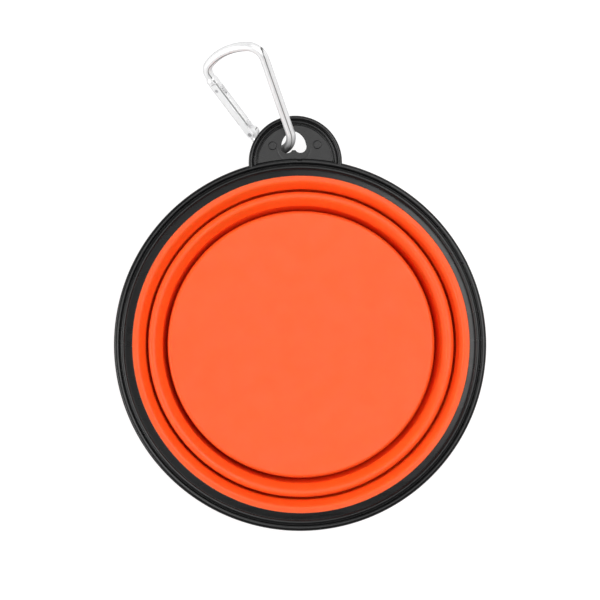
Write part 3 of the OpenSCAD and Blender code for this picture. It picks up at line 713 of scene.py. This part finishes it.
class BOWL_OT_tab(bpy.types.Operator):
    """Builds the hanging tab around its hole, and its two moulding marks"""

    bl_idname = "bowl.tab"
    bl_label = "Hanging tab"

    def execute(self, context):
        s, t, finish = context.scene.bowl_rim, context.scene.bowl_tab, context.scene.bowl_finish
        black = plastic_material(finish, tab=t)
        points = tab_points(s, t)
        tab = piece("rim_tab", points.reshape(-1, 3), grid_faces(*points.shape[:2], True, True))
        finished(tab, black, "rim", "rim_plastic", "rim_frame")
        r, h, x, y, web = mm(t, "mark_r", "mark_h", "mark_x", "mark_y", "web_z")
        low = web - MARK_SINK
        section = rounded([(0, web + h, 0), (r, web + h, 0.3), (r, low, 0), (0, low, 0)], steps=5)
        for side, name in ((-1, "tab_mark_left"), (1, "tab_mark_right")):
            mark = turned_solid(name, section, np.linspace(0, TURN, 64, endpoint=False), (side * x, y))
            finished(mark, black, "rim", "rim_plastic", "rim_frame")
        return {"FINISHED"}


class BOWL_OT_bands(bpy.types.Operator):
    """Turns the silicone's thick bands: upper wall, middle ring and floor"""

    bl_idname = "bowl.bands"
    bl_label = "Silicone bands"

    def execute(self, context):
        s, b, finish = context.scene.bowl_rim, context.scene.bowl_walls, context.scene.bowl_finish
        orange = silicone_material(finish)
        angles = spread(s)
        (top, crest, crest_up, crest_r, flank_at, crease, crease_z, foot_in, foot_out, middle, middle_r,
         slope_at, mid_in, mid_out, floor, floor_t, floor_r, stand_w, stand_h) = mm(
            b, "fold_z", "crest_at", "crest_up", "crest_r", "flank_at", "crease_at", "crease_z", "foot_in",
            "foot_out", "middle_at", "middle_r", "slope_at", "middle_in", "middle_out", "floor_at", "floor_t",
            "floor_r", "stand_w", "stand_h")
        mouth, mouth_z, mouth_t, skirt_in, cover, root = mm(s, "mouth_at", "mouth_z", "mouth_t", "skirt_in",
                                                            "cover_z", "root_at")
        place = tuple(mm(b, "off_x", "off_y"))
        brow = arc((crest, top + crest_up - crest_r), crest_r, start=84, end=145, steps=10)
        flank_z = brow[-1, 1] - (brow[-1, 0] - flank_at) * FLANK_FALL
        lower = rounded([(*brow[-1], 0), (flank_at, flank_z, 0.3), (crease, crease_z, 0.5),
                         (foot_in, FOOT_TOP, 0.2), (foot_in, 0, 0.3), (foot_out, 0, 0.3),
                         (foot_out + FOOT_FLARE, FOOT_FLARE, 0.5), (skirt_in, WALL_TOP, 0.4),
                         (skirt_in, cover, 0), (root, cover, 0),
                         (mouth, mouth_z - mouth_t, HEM_ROUND), (mouth, mouth_z, 0.1)])[1:]
        upper = np.concatenate([brow, lower])
        band = turned("wall_upper_band", upper, angles, place)
        finished(band, orange, "rim", "silicone", "bowl_upper_wall")
        m = (middle, top - middle_r)
        dome = arc(m, middle_r, start=-30, end=138, steps=22)
        slope_z = dome[-1, 1] - (dome[-1, 0] - slope_at) * SLOPE_FALL
        lower = rounded([(*dome[-1], 0), (slope_at, slope_z, 0.8), (mid_in, RING_FOOT_TOP, 0.8),
                         (mid_in, RING_FOOT, 0.3), (mid_out, RING_FOOT, 0.3),
                         (middle + middle_r * 0.86, m[1] - middle_r * 0.5, 0)])[1:-1]
        ring = turned("wall_middle_ring", np.concatenate([dome, lower]), angles, place)
        finished(ring, orange, "middle", "silicone", "bowl_middle_ring")
        low = top - floor_t
        plate = rounded([(0, top, 0), (floor, top, floor_r), (floor, low, 0.3), (floor - stand_w, low, 0.4),
                         (floor - stand_w - stand_h, low + stand_h, 0.3), (0, low + stand_h, 0)], steps=8)
        extra = np.linspace(0, floor - 3, 12)[1:, None] * [1, 0] + [0, top]
        plate = np.concatenate([plate[:1], extra, plate[1:]])
        finished(turned_solid("floor_plate", plate, angles, place), orange, "base", "silicone", "bowl_base")
        return {"FINISHED"}


class BOWL_OT_webs(bpy.types.Operator):
    """Turns the two thin webs"""

    bl_idname = "bowl.webs"
    bl_label = "Folding webs"

    def execute(self, context):
        s, b = context.scene.bowl_rim, context.scene.bowl_walls
        orange = bpy.data.materials["silicone_orange"]
        angles = spread(s)
        thick, lean = mm(b, "web_t", "web_lean")
        top, foot_in, mid_in, middle_r, floor_t = mm(b, "fold_z", "foot_in", "middle_in", "middle_r", "floor_t")
        for name, node, pair, root, crown in (
                ("web_upper", "upper_fold", ("rim", "middle"), foot_in, top - middle_r - WEB_CROWN),
                ("web_lower", "lower_fold", ("middle", "base"), mid_in, top - floor_t + WEB_CROWN)):
            u = np.linspace(0, 1, 33)
            outer = np.column_stack([root + WEB_SINK - lean * u, WEB_FOOT + (crown - WEB_FOOT) * u])
            inner = outer[::-1] - [thick, 0]
            cap_top = arc(outer[-1] - [thick / 2, 0], thick / 2, start=0, end=180, steps=8)[1:-1]
            cap_low = arc(outer[0] - [thick / 2, 0], thick / 2, start=180, end=360, steps=8)[1:-1]
            web = turned(name, np.concatenate([outer, cap_top, inner, cap_low]), angles,
                         tuple(mm(b, "off_x", "off_y")))
            finished(web, orange, None, "silicone", node)
            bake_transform(web)
        return {"FINISHED"}


class BOWL_OT_hook(bpy.types.Operator):
    """Finishes the snap hook's solids, and draws the spring's merged copy"""

    bl_idname = "bowl.hook"
    bl_label = "Snap hook"

    def execute(self, context):
        finish = context.scene.bowl_finish
        # the aluminium carries the painted white glow, the painted dark reflection line and the painted dark
        # end in the hole
        bright = metal_material("aluminium_polished", finish.aluminium, finish.aluminium_rough, finish)
        steel = metal_material("steel_pin", finish.steel, finish.steel_rough)
        for names, material in ((("carabiner_body", "carabiner_gate"), bright),
                                (("gate_rivet", "latch_pin", "gate_spring", "spring_plunger"), steel)):
            for name in names:
                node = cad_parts[name]
                node.data.materials.clear()
                node.data.materials.append(material)
        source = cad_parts["gate_spring"]
        wire = bmesh.new()
        wire.from_mesh(source.data)
        bmesh.ops.remove_doubles(wire, verts=wire.verts, dist=1e-7)
        mesh = bpy.data.meshes.new("spring_coil")
        wire.to_mesh(mesh)
        wire.free()
        coil = bpy.data.objects.new("spring_coil", mesh)
        context.scene.collection.objects.link(coil)
        finished(coil, steel, "gate", "pin_steel", "gate_spring")
        along = np.array(SPRING_AXIS)
        reach = np.array([v.co for v in mesh.vertices]) @ along
        far = np.array(mesh.vertices[int(reach.argmax())].co)
        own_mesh(coil)
        return {"FINISHED"}


def softbox(name, azimuth, elevation, distance, width, height, radiance):
    """An area lamp that faces the bowl from a direction, given as degrees from +X towards +Y and degrees above
    the floor, with the brightness of its surface."""
    data = bpy.data.lights.new(name, "AREA")
    data.shape = "RECTANGLE"
    data.size, data.size_y = width, height
    data.energy = radiance * width * height * AREA_LIGHT
    a, e = math.radians(azimuth), math.radians(elevation)
    lamp = bpy.data.objects.new(name, data)
    place = np.array([math.cos(a) * math.cos(e), math.sin(a) * math.cos(e), math.sin(e)]) * distance
    lamp.location = place
    lamp.rotation_euler = (math.pi / 2 - e, 0, a + math.pi / 2)
    lamp.visible_camera = False
    bpy.context.scene.collection.objects.link(lamp)


class BOWL_OT_stage(bpy.types.Operator):
    """Makes the floor, the lamps, the room and the camera"""

    bl_idname = "bowl.stage"
    bl_label = "Stage"

    def execute(self, context):
        scene, g = context.scene, context.scene.bowl_stage
        scene.view_settings.view_transform = "Standard"
        for key, azimuth, elevation, width, height in LAMPS:
            softbox("lamp_" + key, azimuth, elevation, LAMP_DISTANCE, width, height, getattr(g, key))
        edges = np.array([[-1, -1, 0], [1, -1, 0], [1, 1, 0], [-1, 1, 0]]) * FLOOR_HALF / MM
        floor = piece("floor_sheet", edges - [0, 0, FLOOR_DROP], np.array([[0, 1, 2, 3]]))
        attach(floor, "base")
        made = bpy.data.materials.new("floor_paper")
        made.use_nodes = True
        nodes, links = made.node_tree.nodes, made.node_tree.links
        nodes.clear()
        out = nodes.new("ShaderNodeOutputMaterial")
        path = nodes.new("ShaderNodeLightPath")
        mirrored = combined(nodes, links, "MAXIMUM", path.outputs["Is Glossy Ray"],
                            path.outputs["Is Transmission Ray"])
        seen = combined(nodes, links, "MAXIMUM", path.outputs["Is Camera Ray"], mirrored)
        paper = nodes.new("ShaderNodeBsdfDiffuse")
        paper.inputs["Color"].default_value = (*[PAPER_GREY] * 3, 1)
        pale = nodes.new("ShaderNodeBsdfDiffuse")
        pale.inputs["Color"].default_value = (*[g.paper_shade] * 3, 1)
        glow = nodes.new("ShaderNodeEmission")
        links.new(ranged(nodes, links, path.outputs["Is Camera Ray"], 0, 1, g.paper_mirrored, g.paper),
                  glow.inputs["Strength"])
        both = nodes.new("ShaderNodeAddShader")
        links.new(pale.outputs[0], both.inputs[0])
        links.new(glow.outputs[0], both.inputs[1])
        mix = nodes.new("ShaderNodeMixShader")
        links.new(seen, mix.inputs[0])
        links.new(paper.outputs[0], mix.inputs[1])
        links.new(both.outputs[0], mix.inputs[2])
        links.new(mix.outputs[0], out.inputs["Surface"])
        floor.data.materials.append(made)
        world = bpy.data.worlds.new("room")
        scene.world = world
        world.use_nodes = True
        back = world.node_tree.nodes["Background"]
        back.inputs["Color"].default_value = (1, 1, 1, 1)
        nodes, links = world.node_tree.nodes, world.node_tree.links
        way = nodes.new("ShaderNodeTexCoord")
        up = part_of(nodes, links, way.outputs["Generated"], "Z")
        links.new(ranged(nodes, links, up, *HORIZON, g.walls, g.room), back.inputs["Strength"])
        data = bpy.data.cameras.new("camera")
        data.lens, data.sensor_width = g.lens, g.sensor
        distance = g.width * g.lens / g.sensor
        camera = bpy.data.objects.new("camera", data)
        camera.location = (g.middle_x, g.middle_y, g.middle_z + distance)
        camera.rotation_euler = (0, 0, g.turn)
        data.clip_start, data.clip_end = 0.1, 3 * distance
        scene.collection.objects.link(camera)
        scene.camera = camera
        return {"FINISHED"}


class BOWL_PT_panel(bpy.types.Panel):
    """Lists the pieces of the folding bowl and their sizes"""

    bl_idname = "BOWL_PT_panel"
    bl_label = "Folding bowl"
    bl_space_type = "VIEW_3D"
    bl_region_type = "UI"
    bl_category = "Folding bowl"

    def draw(self, context):
        for operator in OPERATORS:
            self.layout.operator(operator.bl_idname)
        for name, _ in GROUPS:
            group = getattr(context.scene, name)
            box = self.layout.box()
            box.label(text=type(group).__name__)
            for key in type(group).__annotations__:
                box.prop(group, key)


OPERATORS = (BOWL_OT_rim, BOWL_OT_tab, BOWL_OT_bands, BOWL_OT_webs, BOWL_OT_hook, BOWL_OT_stage)
GROUPS = (("bowl_rim", RimSizes), ("bowl_tab", TabSizes), ("bowl_walls", BowlSizes), ("bowl_hook", HookSizes),
          ("bowl_finish", Finishes), ("bowl_stage", StageSizes))


def register():
    for name, group in GROUPS:
        bpy.utils.register_class(group)
        setattr(bpy.types.Scene, name, PointerProperty(type=group))
    for cls in (*OPERATORS, BOWL_PT_panel):
        bpy.utils.register_class(cls)


def unregister():
    for cls in (BOWL_PT_panel, *reversed(OPERATORS)):
        bpy.utils.unregister_class(cls)
    for name, group in reversed(GROUPS):
        delattr(bpy.types.Scene, name)
        bpy.utils.unregister_class(group)


def main():
    register()
    for operator in OPERATORS:
        group, name = operator.bl_idname.split(".")
        getattr(getattr(bpy.ops, group), name)()


if __name__ == "__main__":
    main()
